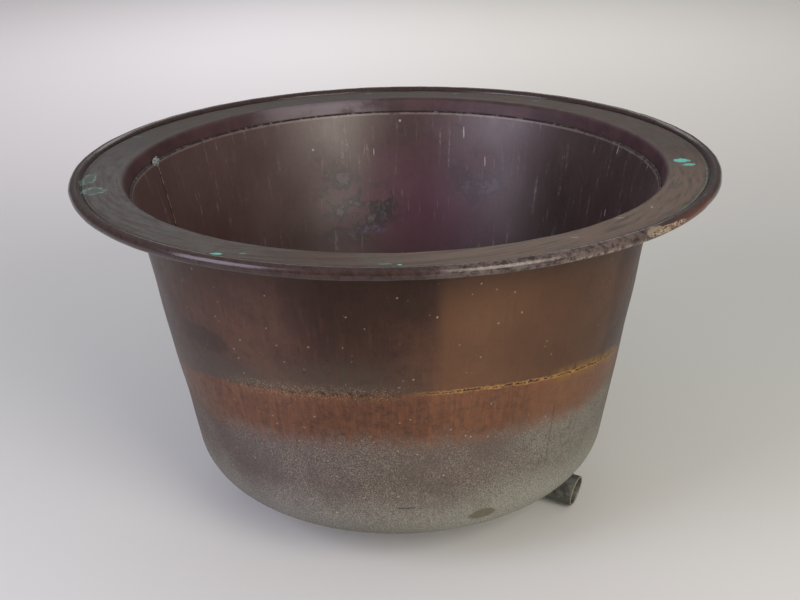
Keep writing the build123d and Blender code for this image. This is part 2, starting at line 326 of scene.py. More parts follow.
# What is left of the mortar: a cracked ridge at the right, and crumbs and soot at the left.
line_gap = add_math(tree, "ABSOLUTE", above_mortar)
right_side = facing(tree, outward, 303, 0.82, 0.95)
far_right = facing(tree, outward, 320, 0.955, 0.985)
broken = mask(tree, (flecks, 0.38, 0.5))
mortar = mask(tree, (line_gap, 0.0036, 0.0014), right_side, broken)
wide_mortar = mask(tree, (line_gap, 0.014, 0.004), far_right, (drips, 0.38, 0.52), (flecks, 0.3, 0.5))
skin = paint(tree, skin, "#8f6a33", wide_mortar, 0.8)
skin = paint(tree, skin, "#94703c", mortar, 0.85)
crack = mask(tree, (line_gap, 0.0014, 0.0005), right_side, (drips, 0.42, 0.5))
skin = paint(tree, skin, "#22150e", crack)
left_side = facing(tree, outward, 250, 0.9, 0.985)
crumbs = mask(tree, (line_gap, 0.016, 0.002), left_side, (grains, 0.53, 0.6))
skin = paint(tree, skin, "#ab9472", crumbs, 0.75)
soot_line = mask(tree, (line_gap, 0.004, 0.0015), left_side, (flecks, 0.48, 0.56))
skin = paint(tree, skin, "#33261f", soot_line, 0.6)

# Splashes of lime, a damp patch, a rub, a nick, and the seam's dark line in the scale.
dots = add_node(tree, "ShaderNodeTexVoronoi", {}, {"Vector": point, "Scale": 120})
chosen = add_node(tree, "ShaderNodeTexVoronoi", {}, {"Vector": point, "Scale": 120}, "Color")
few = mask(tree, (dots, 0.2, 0.1), (chosen, 0.72, 0.78), (grains, 0.45, 0.52))
skin = paint(tree, skin, "#a8977c", few, 0.8)
damp = spot(tree, point, 290.5, 0.2765, 0.096, (0.021, 0.021, 0.009), 0.4, 60)
skin = paint(tree, skin, "#4d4a33", damp, 0.8)
rub = spot(tree, point, 224, 0.311, 0.316, (0.05, 0.05, 0.018), 0.3, 40)
skin = paint(tree, skin, "#3a2d29", rub, 0.6)
nick = spot(tree, point, 271, 0.281, 0.120, (0.015, 0.01, 0.0012), 0.6, 200)
skin = paint(tree, skin, "#2b2523", nick, 0.8)
beside_seam = add_dot(tree, outward, around(SEAM_AZIMUTHS[1] + 90, 1))
beside_seam = add_math(tree, "ABSOLUTE", beside_seam)
seam_mark = mask(
    tree, (beside_seam, 0.0040, 0.0016), facing(tree, outward, SEAM_AZIMUTHS[1], 0.5, 0.6),
    (dripping, 0.25, 0.22), (dripping, 0.13, 0.16), (flecks, 0.35, 0.55))
skin = paint(tree, skin, "#2f2724", seam_mark, 0.6)
tree.links.new(skin, shader.inputs["Base Color"])

# The metal shows its shine only where scale and mortar leave it bare.
chalky = add_math(tree, "MAXIMUM", in_scale, mortar)
shine = add_range(tree, chalky, 0, 1, 0.7, 0.08)
tree.links.new(shine, shader.inputs["Metallic"])
dull = add_range(tree, chalky, 0, 1, 0.36, 0.7)
dull = add_math(tree, "MULTIPLY_ADD", flecks, 0.16, dull)
tree.links.new(dull, shader.inputs["Roughness"])
relief = add_math(tree, "MULTIPLY_ADD", mortar, 2.0, grains)
add_relief(tree, shader, relief, 0.4, 0.0006)

# The same copper inside, kept wet and scoured for years, so it has a thin even film of cuprous
# oxide. The film is plum-brown, and shines in the light's own colour because its refractive
# index is high. Soot and old water have left smudges, a few scratches, and wipes 7 mm wide.
inside_copper, tree, shader = new_finish("oxidised_copper_inside", 0.0, 0.4)
shader.inputs["IOR"].default_value = 1.8
shader.inputs["Anisotropic"].default_value = 0.55
shader.inputs["Anisotropic Rotation"].default_value = 0.25
round_axis = add_node(tree, "ShaderNodeTangent", {"direction_type": "RADIAL", "axis": "Z"}, {})
tree.links.new(round_axis, shader.inputs["Tangent"])
point, outward, height = bowl_position(tree)
streak_place = upright_streaks(tree, point, outward, 0.1)
clouds = add_noise(tree, point, 7, 8, 0.65)
wipes = add_noise(tree, streak_place, 150, 6, 0.65)
flecks = add_noise(tree, point, 130, 6, 0.7)
film = paint(tree, "#38231f", "#452e2d", (clouds, 0.35, 0.65))
film = paint(tree, film, "#543f3f", (wipes, 0.5, 0.8), 0.35)
film = paint(tree, film, "#241614", (flecks, 0.48, 0.68), 0.6)
# Painted light: the inside is lighter on its left side.
film = paint(tree, film, "#5c4644", facing(tree, outward, 160, 0.5, 0.95), 0.35)
film = paint(tree, film, "#1d1311", facing(tree, outward, 20, 0.75, 0.97), 0.5)
plum = spot(tree, point, 86, 0.31, 0.29, (0.21, 0.15, 0.16), 0.4, 14, 0.0)
film = paint(tree, film, "#56283e", plum, 0.75)
strokes = add_noise(tree, point, 30, 9, 0.72, 0.4)
for azimuth, radius, level, size, strength in (
    (102, 0.307, 0.298, (0.095, 0.06, 0.07), 1.0), (108, 0.318, 0.368, (0.06, 0.04, 0.05), 0.6),
    (66, 0.314, 0.345, (0.07, 0.05, 0.06), 0.5),
):
    region = spot(tree, point, azimuth, radius, level, size, 0.6, 25, 0.4)
    wet = mask(tree, region, (strokes, 0.46, 0.52), 0.9 * strength)
    film = paint(tree, film, "#120d16", wet)
    brushed_off = mask(tree, region, (strokes, 0.56, 0.6), 0.5 * strength)
    film = paint(tree, film, "#6b5c66", brushed_off)
blue = spot(tree, point, 98, 0.302, 0.262, (0.042, 0.03, 0.010), 0.7, 60, 0.3)
film = paint(tree, film, "#4a5577", blue, (flecks, 0.45, 0.6), 0.8)

# Scratches and chips down to paler metal.
for azimuth, radius, level, size in (
    (70.7, 0.326, 0.416, (0.0012, 0.004, 0.012)), (20.4, 0.331, 0.437, (0.003, 0.0012, 0.010)),
    (3.7, 0.331, 0.444, (0.003, 0.0010, 0.011)), (19.6, 0.315, 0.343, (0.003, 0.0014, 0.013)),
    (96, 0.321, 0.385, (0.0010, 0.004, 0.007)), (64, 0.318, 0.375, (0.0010, 0.004, 0.010)),
    (113.3, 0.323, 0.396, (0.0022, 0.004, 0.0020)), (88.5, 0.329, 0.431, (0.0022, 0.004, 0.0024)),
    (148.6, 0.325, 0.400, (0.0022, 0.003, 0.0022)), (139.3, 0.322, 0.382, (0.002, 0.003, 0.002)),
    (140.3, 0.321, 0.371, (0.0018, 0.003, 0.0018)), (128, 0.322, 0.405, (0.002, 0.003, 0.002)),
):
    mark = spot(tree, point, azimuth, radius, level, size, 0.4, 300)
    film = paint(tree, film, "#a39a97", mark, 0.8)
# Painted highlight: a pale line along the top edge of the wall inside, broken by flecks.
lip = mask(tree, (height, 0.4400, 0.4412), (flecks, 0.35, 0.5))
film = paint(tree, film, "#7a6b68", lip, 0.6)
scuffs = mask(tree, (wipes, 0.58, 0.66), (flecks, 0.42, 0.6), 0.4)
film = paint(tree, film, "#8b7d7c", scuffs)
uneven = add_math(tree, "MULTIPLY_ADD", clouds, -0.12, height)
ash = mask(tree, (uneven, 0.10, 0.0))
film = paint(tree, film, "#4b4744", ash)
tree.links.new(film, shader.inputs["Base Color"])
gloss = add_range(tree, clouds, 0.3, 0.7, 0.38, 0.5)
gloss = add_math(tree, "MULTIPLY_ADD", wipes, 0.1, gloss)
gloss = add_math(tree, "ADD", gloss, mask(tree, ash, 0.4))
tree.links.new(gloss, shader.inputs["Roughness"])
add_relief(tree, shader, flecks, 0.2, 0.0006)

dish = [(0.0, 0.0), (0.03, 0.0)]
join = math.atan2(KNUCKLE_CENTRE[0], DISH_CENTRE - KNUCKLE_CENTRE[1])
start = math.asin(FLAT_RADIUS / DISH_RADIUS)
for i in range(17):
    swing = start + (join - start) * i / 16
    dish.append((DISH_RADIUS * math.sin(swing), DISH_CENTRE - DISH_RADIUS * math.cos(swing)))
for i in range(1, 13):
    swing = join + (math.pi / 2 - TAPER - join) * i / 12
    across, down = KNUCKLE_RADIUS * math.sin(swing), KNUCKLE_RADIUS * math.cos(swing)
    dish.append((KNUCKLE_CENTRE[0] + across, KNUCKLE_CENTRE[1] - down))
dish.append((wall_radius(PAN_TOP), PAN_TOP))
pan = draw_profile("bottom_pan_hammered", dish)
spin_sheet(pan)
face_outwards(pan, lambda place: Vector((0, 0, -1)))
pan.data.materials.append(outside_copper)
pan.data.materials.append(inside_copper)
apply_modifier(pan, "SOLIDIFY", thickness=PAN_SHEET, offset=-1, use_even_offset=True, material_offset=1)

DRAIN_AZIMUTH = -24
DRAIN_SLOPE = math.radians(8)
DRAIN_MOUTH = Vector(around(DRAIN_AZIMUTH, 0.2605, 0.0233))
DRAIN_HOLE = 0.0211
drain_axis = Vector(around(DRAIN_AZIMUTH, math.cos(DRAIN_SLOPE), -math.sin(DRAIN_SLOPE)))
drain_turn = drain_axis.to_track_quat("Z", "Y")


def place_on_drain(piece, back):
    """Puts a piece that was made upright at the origin on the drain's line, back from its mouth."""
    piece.rotation_euler = drain_turn.to_euler()
    piece.location = DRAIN_MOUTH - drain_axis * back
    select_only(piece)
    bpy.ops.object.transform_apply(location=True, rotation=True, scale=True)


bpy.ops.object.select_all(action="DESELECT")
bpy.ops.mesh.primitive_cylinder_add(vertices=64, radius=DRAIN_HOLE, depth=0.15)
drill = bpy.context.active_object
place_on_drain(drill, 0.08)
apply_modifier(pan, "BOOLEAN", operation="DIFFERENCE", object=drill, solver="EXACT")
bpy.data.objects.remove(drill)
smooth(pan)
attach(pan, "vessel")
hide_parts("bottom_pan")

# ---------------------------------------------------------------------------------------------
# Wall. Two sheets of 2 mm copper, rolled to a cone and brazed edge to edge. They open out a
# little in the top 80 mm, and years of knocks have left shallow dents.

WALL_SHEET = 0.002
WALL_FOOT = 0.1225
FLARE_FOOT = 0.363
LIP = (0.3347, 0.443)
DENT_DEPTH = 0.006
DENT_SPREAD = 0.14
SEAM_HALF = math.degrees(0.0015 / 0.335)

wall_line = []
for i in range(31):
    z = WALL_FOOT + (FLARE_FOOT - WALL_FOOT) * i / 30
    wall_line.append((wall_radius(z), z))
chord = math.atan2(LIP[0] - wall_radius(FLARE_FOOT), LIP[1] - FLARE_FOOT)
bend = math.hypot(LIP[0] - wall_radius(FLARE_FOOT), LIP[1] - FLARE_FOOT) / 2 / math.sin(chord - TAPER)
for i in range(1, 11):
    lean = TAPER + 2 * (chord - TAPER) * i / 10
    across = bend * (math.cos(TAPER) - math.cos(lean))
    wall_line.append(
        (wall_radius(FLARE_FOOT) + across, FLARE_FOOT + bend * (math.sin(lean) - math.sin(TAPER))))


def dent(piece, depth, spread, foot, top):
    """Pushes a sheet in and out by shallow dents that die away towards its joined edges."""
    group = piece.vertex_groups.new(name="free")
    for vertex in piece.data.vertices:
        free = min(1.0, (vertex.co.z - foot) / 0.06, (top - vertex.co.z) / 0.06)
        group.add([vertex.index], max(0.0, free), "REPLACE")
    knocks = bpy.data.textures.new(piece.name + "_knocks", "CLOUDS")
    knocks.noise_scale = spread
    knocks.noise_depth = 1
    apply_modifier(piece, "DISPLACE", texture=knocks, texture_coords="LOCAL", strength=depth,
                   mid_level=0.5, vertex_group="free")


for name, start, end in (
    ("wall_sheet_front", SEAM_AZIMUTHS[0], SEAM_AZIMUTHS[1]),
    ("wall_sheet_rear", SEAM_AZIMUTHS[1], SEAM_AZIMUTHS[0] + 360),
):
    sheet = draw_profile(name + "_rolled", wall_line, start + SEAM_HALF)
    sweep = end - start - 2 * SEAM_HALF
    spin_sheet(sheet, sweep, round(sweep / 1.5))
    face_outwards(sheet, away_from_axis)
    dent(sheet, DENT_DEPTH, DENT_SPREAD, WALL_FOOT, LIP[1])
    sheet.data.materials.append(outside_copper)
    sheet.data.materials.append(inside_copper)
    apply_modifier(sheet, "SOLIDIFY", thickness=WALL_SHEET, offset=-1, material_offset=1)
    smooth(sheet)
    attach(sheet, "vessel")
    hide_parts(name)

# ---------------------------------------------------------------------------------------------
# Brazed seams. Brass run between the sheets' edges, filed flush outside and left as a low ridge
# inside, and the same round the joint between the wall and the bottom pan.

# Brass darkened by heat and damp, with brighter rubbed places a few millimetres apart.
brazing_brass, tree, shader = new_finish("darkened_brazing_brass", 0.7, 0.45)
point = add_node(tree, "ShaderNodeTexCoord", {}, {}, "Object")
rubs = add_noise(tree, point, 260, 4)
brass = paint(tree, "#6b5850", "#b5a194", (rubs, 0.42, 0.6))
tree.links.new(brass, shader.inputs["Base Color"])
add_relief(tree, shader, rubs, 0.4, 0.0005)

RIDGE = 0.0006
for name, azimuth in (("wall_seam_left", SEAM_AZIMUTHS[0]), ("wall_seam_right", SEAM_AZIMUTHS[1])):
    seam = draw_profile(name + "_brazed", wall_line, azimuth - SEAM_HALF)
    spin_sheet(seam, 2 * SEAM_HALF, 4)
    face_outwards(seam, away_from_axis)
    dent(seam, DENT_DEPTH, DENT_SPREAD, WALL_FOOT, LIP[1])
    seam.data.materials.append(outside_copper)
    seam.data.materials.append(brazing_brass)
    apply_modifier(seam, "SOLIDIFY", thickness=WALL_SHEET + RIDGE, offset=-1, material_offset=1)
    smooth(seam)
    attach(seam, "vessel")
    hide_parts(name)

low, high = PAN_TOP, WALL_FOOT
joint = draw_profile("pan_braze_ring_run", [
    (wall_radius(low), low), (wall_radius(high), high),
    (wall_radius(high) - 0.0026, high), (wall_radius(high) - 0.0031, (low + high) / 2),
    (wall_radius(low) - 0.0026, low), (wall_radius(low), low)])
spin_sheet(joint)
joint.data.materials.append(outside_copper)
smooth(joint)
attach(joint, "vessel")
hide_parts("pan_braze_ring")

# ---------------------------------------------------------------------------------------------
# Rim. One copper ring, worked into a collar that slips over the wall's top, a fold, a flat
# flange, and an edge rolled round an iron rod. Handling has rounded and dulled it, and a length
# of the rolled edge is torn away.

COLLAR = (0.335, 0.443)
FOLD = (0.346686, 0.4568)
FOLD_RADIUS = 0.008
COLLAR_LEAN = math.radians(14)
FLANGE_TOP = 0.4648
BEAD = (0.3985, 0.463)
BEAD_RADIUS = 0.0074
CURL_RADIUS = 0.0068
RIM_SHEET = 0.0018

# Copper oxide handled for years: grey-brown on top, with a green cast where water stood, dark and
# glossy where hands rubbed the rolled edge, and spots of bright verdigris. Wiping has left streaks
# along the rim, and lime and rust cling near the torn place.
rim_copper, tree, shader = new_finish("handled_copper_rim", 0.0, 0.45)
shader.inputs["IOR"].default_value = 1.4
point, outward, height = bowl_position(tree)
radius = add_dot(tree, point, outward)
level = add_node(tree, "ShaderNodeVectorMath", {"operation": "SCALE"}, {0: outward, "Scale": 0.37})
rings = add_node(tree, "ShaderNodeCombineXYZ", {}, {0: radius, 1: height, 2: 0})
brushed = add_node(
    tree, "ShaderNodeVectorMath", {"operation": "MULTIPLY_ADD"}, {0: rings, 1: (8, 8, 8), 2: level})
wipes = add_noise(tree, brushed, 24, 8, 0.7)
clouds = add_noise(tree, point, 16, 8, 0.7)
flecks = add_noise(tree, point, 150, 6, 0.75)
top = paint(tree, "#31231c", "#4a392c", (wipes, 0.43, 0.57))
top = paint(tree, top, "#454036", (clouds, 0.48, 0.62), 0.5)
top = paint(tree, top, "#55595a", facing(tree, outward, 200, 0.5, 0.98), (wipes, 0.3, 0.6), 0.6)
# Painted shade: the back of the flange is darkened.
painted_shade_back = mask(tree, facing(tree, outward, 122, 0.4, 0.9), (wipes, 0.3, 0.6), 0.65)
top = paint(tree, top, "#211814", painted_shade_back)
top = paint(tree, top, "#2a201c", (flecks, 0.5, 0.68), 0.65)
brown_patch = mask(tree, (clouds, 0.5, 0.38), (flecks, 0.35, 0.6), 0.5)
top = paint(tree, top, "#4a2f26", brown_patch)
# Painted light: the right side of the flange is lightened towards the right lamp, broken up by the
# wipes.
painted_light_right = mask(tree, facing(tree, outward, 312, 0.6, 0.9), (wipes, 0.3, 0.55), 0.5)
top = paint(tree, top, "#766457", painted_light_right)
inner = paint(tree, "#38272a", "#4a3336", (clouds, 0.35, 0.65))
inner = paint(tree, inner, "#271b1c", (flecks, 0.5, 0.75), 0.4)
# Painted highlight: a pale patch on the inner collar at the back.
painted_collar_highlight = mask(tree, facing(tree, outward, 110, 0.93, 0.995), (clouds, 0.3, 0.55), 0.6)
inner = paint(tree, inner, "#7d757c", painted_collar_highlight)
lap_dark = mask(tree, (height, 0.4475, 0.4445))
inner = paint(tree, inner, "#221817", lap_dark, 0.7)
top = paint(tree, inner, top, (radius, 0.3415, 0.3455))
edge = paint(tree, "#2b1f1b", "#3d2e2c", (flecks, 0.35, 0.65))
edge = paint(tree, edge, "#231916", (flecks, 0.52, 0.75), 0.4)
red_side = mask(tree, facing(tree, outward, 324, 0.985, 0.997), (height, 0.470, 0.466))
edge = paint(tree, edge, "#5e3a2f", red_side, 0.6)
# Painted highlight: a lighter, flecked band on the rolled edge at the right.
painted_edge_highlight = mask(tree, facing(tree, outward, 293, 0.935, 0.98), (flecks, 0.38, 0.58))
edge = paint(tree, edge, "#766c69", painted_edge_highlight, 0.4)
on_edge = mask(tree, (radius, 0.3905, 0.3920))
top = paint(tree, top, edge, on_edge)

# Two dark lines in the flange by the rolled edge, painted shade in the groove there, and green in the
# groove at the right.
for line, width, strength in ((0.3908, 0.0013, 0.9), (0.3862, 0.0009, 0.45)):
    gap = add_math(tree, "SUBTRACT", radius, line)
    gap = add_math(tree, "ABSOLUTE", gap)
    on_top = mask(tree, (height, 0.4615, 0.4625))
    top = paint(tree, top, "#1f1815", (gap, width, 0.4 * width), on_top, strength)
gap = add_math(tree, "SUBTRACT", radius, 0.3885)
gap = add_math(tree, "ABSOLUTE", gap)
green_groove = mask(
    tree, (gap, 0.0025, 0.001), facing(tree, outward, 338, 0.93, 0.98), (flecks, 0.45, 0.6))
top = paint(tree, top, "#5d8072", green_groove, 0.6)

# Verdigris, water stains with green rims, and scrapes.
for azimuth, reach, size, strength in (
    (353.6, 0.361, (0.012, 0.009, 0.02), 1.0), (350.8, 0.368, (0.009, 0.006, 0.02), 0.8),
    (241.7, 0.382, (0.007, 0.003, 0.02), 0.9), (245.6, 0.372, (0.004, 0.002, 0.02), 0.3),
    (270.5, 0.379, (0.0025, 0.002, 0.02), 0.8), (268.4, 0.376, (0.008, 0.0015, 0.02), 0.3),
    (159.5, 0.383, (0.008, 0.003, 0.02), 0.2), (54, 0.372, (0.006, 0.003, 0.02), 0.3),
    (96, 0.380, (0.005, 0.003, 0.02), 0.25), (75, 0.376, (0.004, 0.003, 0.02), 0.3),
):
    verdigris = spot(tree, point, azimuth, reach, FLANGE_TOP, size, 0.8, 260)
    top = paint(tree, top, "#62bcae", verdigris, strength)
for azimuth, reach, size in ((198, 0.377, (0.014, 0.017, 0.02)), (190, 0.382, (0.010, 0.028, 0.02))):
    stain = spot(tree, point, azimuth, reach, FLANGE_TOP, size, 0.8, 120)
    smaller = tuple(0.78 * side for side in size)
    hollow = spot(tree, point, azimuth, reach, FLANGE_TOP, smaller, 0.8, 120)
    ring = add_node(
        tree, "ShaderNodeMath", {"operation": "SUBTRACT", "use_clamp": True}, {0: stain, 1: hollow})
    top = paint(tree, top, "#4f5d58", stain, 0.5)
    top = paint(tree, top, "#80aaa0", ring, (flecks, 0.42, 0.55), 0.8)
for azimuth, reach, size in (
    (313.3, 0.350, (0.006, 0.0012, 0.02)), (300.4, 0.362, (0.005, 0.0014, 0.02)),
    (322, 0.358, (0.0014, 0.005, 0.02)),
):
    scrape = spot(tree, point, azimuth, reach, FLANGE_TOP, size, 0.5, 250)
    top = paint(tree, top, "#98918a", scrape, 0.7)

# Lime on the edge around the torn place, and in crumbs to the left of it.
lime = mask(
    tree, facing(tree, outward, 303, 0.985, 0.994), (height, 0.4625, 0.4595), on_edge,
    (flecks, 0.5, 0.56))
around_tear = mask(
    tree, spot(tree, point, 311.5, 0.4045, 0.4655, (0.016, 0.016, 0.0055), 0.5, 160), on_edge)
crust_mask = add_math(tree, "MAXIMUM", lime, around_tear)
top = paint(tree, top, "#877b6c", crust_mask, 0.7)
tree.links.new(top, shader.inputs["Base Color"])
rubbed = add_range(tree, on_edge, 0, 1, 0.42, 0.12)
dulled = add_math(tree, "MULTIPLY_ADD", wipes, 0.16, rubbed)
dulled = add_math(tree, "MULTIPLY_ADD", crust_mask, 0.4, dulled)
tree.links.new(dulled, shader.inputs["Roughness"])
add_relief(tree, shader, flecks, 0.25, 0.0006)

rim_line = []
for rise in (-0.016, -0.008, 0, 0.005, 0.010):
    rim_line.append((COLLAR[0] + rise * math.tan(COLLAR_LEAN), COLLAR[1] + rise))
for i in range(9):
    swing = math.pi - COLLAR_LEAN - (math.pi / 2 - COLLAR_LEAN) * i / 8
    rim_line.append((FOLD[0] + FOLD_RADIUS * math.cos(swing), FOLD[1] + FOLD_RADIUS * math.sin(swing)))
for reach in (0.352, 0.358, 0.364, 0.370, 0.376, 0.382, 0.3875, 0.3897):
    rim_line.append((reach, FLANGE_TOP))
rim_line += [(0.3906, 0.4640), (0.3911, 0.4642)]
for i in range(22):
    swing = math.radians(163 - 10 * i)
    rim_line.append((BEAD[0] + BEAD_RADIUS * math.cos(swing), BEAD[1] + BEAD_RADIUS * math.sin(swing)))
for i in range(10):
    swing = math.radians(-49 - 12 * i)
    rim_line.append((BEAD[0] + CURL_RADIUS * math.cos(swing), BEAD[1] + CURL_RADIUS * math.sin(swing)))
rim = draw_profile("rim_worked", rim_line)
spin_sheet(rim, 360, 288)
face_outwards(rim, lambda place: Vector((0, 0, 1)))
knocks = bpy.data.textures.new("rim_knocks", "CLOUDS")
knocks.noise_scale = 0.035
apply_modifier(rim, "DISPLACE", texture=knocks, texture_coords="LOCAL", strength=0.0012, mid_level=0.8)
rim.data.materials.append(rim_copper)
rim.data.materials.append(outside_copper)
apply_modifier(
    rim, "SOLIDIFY", thickness=RIM_SHEET, offset=-1, use_even_offset=False, material_offset=1)

# Lime and mortar dust caked on the torn edge: chalky, pale and rough, in grains of 4 mm.
torn_crust, tree, shader = new_finish("lime_crust_on_torn_copper", 0.0, 0.85)
point = add_node(tree, "ShaderNodeTexCoord", {}, {}, "Object")
grains = add_noise(tree, point, 240, 5, 0.7)
crust = paint(tree, "#4a3c33", "#9a8d7d", (grains, 0.42, 0.58))
tree.links.new(crust, shader.inputs["Base Color"])
add_relief(tree, shader, grains, 0.8, 0.0012)

TEAR_AZIMUTH = 314.5
bpy.ops.object.select_all(action="DESELECT")
bpy.ops.mesh.primitive_ico_sphere_add(subdivisions=5, radius=1)
tear = bpy.context.active_object
tear.scale = (0.0040, 0.040, 0.0044)
tear.rotation_euler = (0, 0, math.radians(TEAR_AZIMUTH))
tear.location = around(TEAR_AZIMUTH, 0.4060, 0.4640)
bpy.ops.object.transform_apply(location=True, rotation=True, scale=True)
rips = bpy.data.textures.new("rips", "CLOUDS")
rips.noise_scale = 0.008
apply_modifier(tear, "DISPLACE", texture=rips, texture_coords="LOCAL", strength=0.004, mid_level=0.5)
tear.data.materials.append(torn_crust)
apply_modifier(
    rim, "BOOLEAN", operation="DIFFERENCE", object=tear, solver="EXACT", material_mode="TRANSFER")
bpy.data.objects.remove(tear)
smooth(rim)
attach(rim, "vessel")
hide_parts("rim_flange")

# ---------------------------------------------------------------------------------------------
# Rod in the rim's edge. Black wrought iron, seen only where the copper is torn away. There it
# has rusted, and lime has caked on it.

rusty_rod, tree, shader = new_finish("rusted_rod", 0.2, 0.8)
point = add_node(tree, "ShaderNodeTexCoord", {}, {}, "Object")
flakes = add_noise(tree, point, 300, 5, 0.7)
rust = paint(tree, "#54382a", "#a39482", (flakes, 0.42, 0.6))
tree.links.new(rust, shader.inputs["Base Color"])
add_relief(tree, shader, flakes, 0.7, 0.001)
nodes["rim_edge_rod"].data.materials.clear()
nodes["rim_edge_rod"].data.materials.append(rusty_rod)

# ---------------------------------------------------------------------------------------------
# Solder. A fillet on the wall's top edge seals it to the collar, with a lump over the left seam
# where a leak was stopped.

# Solder gone nearly black with soot, with a few paler rubbed places, and lumpy every 8 mm because
# it was wiped while hot.
soft_solder, tree, shader = new_finish("sooty_soft_solder", 0.4, 0.55)
point = add_node(tree, "ShaderNodeTexCoord", {}, {}, "Object")
bloom = add_noise(tree, point, 130, 5)
metal = paint(tree, "#2a2120", "#6b605c", (bloom, 0.52, 0.7))
tree.links.new(metal, shader.inputs["Base Color"])
add_relief(tree, shader, bloom, 0.5, 0.001)

fillet = draw_profile("collar_solder_fillet", [
    (0.3352, 0.4430), (0.3327, 0.4430), (0.3332, 0.4437),
    (0.3342, 0.4446), (0.3355, 0.4455), (0.3352, 0.4430)])
spin_sheet(fillet, 360, 288)
fillet.data.materials.append(soft_solder)
smooth(fillet)
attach(fillet, "vessel")
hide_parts("collar_solder_ring")

# Fresh lead-grey, lighter than the rest because it was added last.
pale_solder, tree, shader = new_finish("pale_patch_solder", 0.3, 0.5)
point = add_node(tree, "ShaderNodeTexCoord", {}, {}, "Object")
bloom = add_noise(tree, point, 200, 5)
metal = paint(tree, "#5f6a6c", "#a9b2b4", (bloom, 0.4, 0.6))
tree.links.new(metal, shader.inputs["Base Color"])

LUMP_AZIMUTH = SEAM_AZIMUTHS[0] + 0.3
bpy.ops.object.select_all(action="DESELECT")
bpy.ops.mesh.primitive_ico_sphere_add(subdivisions=4, radius=1)
lump = bpy.context.active_object
lump.name = "seam_solder_lump"
lump.scale = (0.003, 0.009, 0.0075)
lump.rotation_euler = (0, 0, math.radians(LUMP_AZIMUTH))
lump.location = around(LUMP_AZIMUTH, 0.3335, 0.444)
bpy.ops.object.transform_apply(location=True, rotation=True, scale=True)
drops = bpy.data.textures.new("drops", "CLOUDS")
drops.noise_scale = 0.006
apply_modifier(lump, "DISPLACE", texture=drops, texture_coords="LOCAL", strength=0.004, mid_level=0.5)
lump.data.materials.append(pale_solder)
smooth(lump, 60)
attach(lump, "vessel")

# ---------------------------------------------------------------------------------------------
# Drain pipe. A short length of drawn copper pipe, let into the dish and cut flush inside, with
# a saddle plate riveted round it under the dish. Its mouth is a little belled, and was sawn off
# slightly askew.

SAW_SLANT = math.radians(-5)
SAWN_OFF = 0.0024
LIP_ROUND = 0.0005

# Copper that has stood near wet ground: nearly black, with grey-green bloom in 15 mm clouds, and
# paler along the sawn lip, partly scuffs and partly a painted highlight on the edge.
damp_copper, tree, shader = new_finish("weathered_pipe_copper", 0.4, 0.55)
point = add_node(tree, "ShaderNodeTexCoord", {}, {}, "Object")
bloom = add_noise(tree, point, 65, 6, 0.7)
pits = add_noise(tree, point, 300, 4)
skin = paint(tree, "#393935", "#646863", (bloom, 0.38, 0.6))
skin = paint(tree, skin, "#6d5c49", (pits, 0.55, 0.7), 0.6)
saw_normal = Matrix.Rotation(SAW_SLANT, 3, "Z") @ drain_axis
along = add_dot(tree, point, tuple(saw_normal))
saw_place = DRAIN_MOUTH - drain_axis * SAWN_OFF
at_mouth = saw_normal.dot(saw_place)
# Paler along the sawn lip: scuffs, and a painted highlight on the edge.
lip_scuff_and_highlight = mask(tree, (along, at_mouth - 0.0016, at_mouth - 0.0003), (pits, 0.3, 0.5))
skin = paint(tree, skin, "#968878", lip_scuff_and_highlight, 0.8)
tree.links.new(skin, shader.inputs["Base Color"])
add_relief(tree, shader, pits, 0.5, 0.0008)

PIPE_LENGTH = 0.125
bell = [(0.0208, -PIPE_LENGTH), (0.0206, -0.03), (0.0206, -0.012),
        (0.0208, -0.004), (0.0209, -0.0012), (0.0204, 0.0)]
bore = [(0.0190, 0.0), (0.0184, -0.0012), (0.0182, -0.005), (0.0182, -PIPE_LENGTH)]
pipe = draw_profile("drain_pipe_drawn", bell + bore)
spin_sheet(pipe, 360, 72)
face_outwards(pipe, away_from_axis)
place_on_drain(pipe, 0.0)
bpy.ops.object.mode_set(mode="EDIT")
bpy.ops.mesh.select_all(action="SELECT")
bpy.ops.mesh.bisect(plane_co=saw_place, plane_no=saw_normal, use_fill=True, clear_outer=True)
bpy.ops.mesh.bevel(offset=LIP_ROUND, segments=2, affect="EDGES")
bpy.ops.object.mode_set(mode="OBJECT")
bpy.ops.object.select_all(action="DESELECT")
bpy.ops.mesh.primitive_uv_sphere_add(
    segments=256, ring_count=128, radius=DISH_RADIUS - PAN_SHEET, location=(0, 0, DISH_CENTRE))
inside_ball = bpy.context.active_object
bpy.ops.object.transform_apply(location=True, rotation=True, scale=True)
select_only(pipe)
bpy.ops.object.mode_set(mode="EDIT")
bpy.ops.mesh.select_all(action="DESELECT")
bpy.ops.mesh.select_non_manifold()
bpy.ops.mesh.edge_face_add()
bpy.ops.object.mode_set(mode="OBJECT")
apply_modifier(pipe, "BOOLEAN", operation="DIFFERENCE", object=inside_ball, solver="EXACT")
bpy.data.objects.remove(inside_ball)
pipe.data.materials.clear()
pipe.data.materials.append(damp_copper)
smooth(pipe)
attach(pipe, "vessel")
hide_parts("drain_pipe")

for name in ("drain_saddle", "drain_rivets"):
    nodes[name].data.materials.clear()
    nodes[name].data.materials.append(damp_copper)

# ---------------------------------------------------------------------------------------------
# Grate. Square wrought iron bars, laid side by side on two cross bars and welded inside a ring
# of flat bar. Four round legs stand it on the dish. It is loose and lifts out. Each bar has lost
# 0.4 mm to the fire.

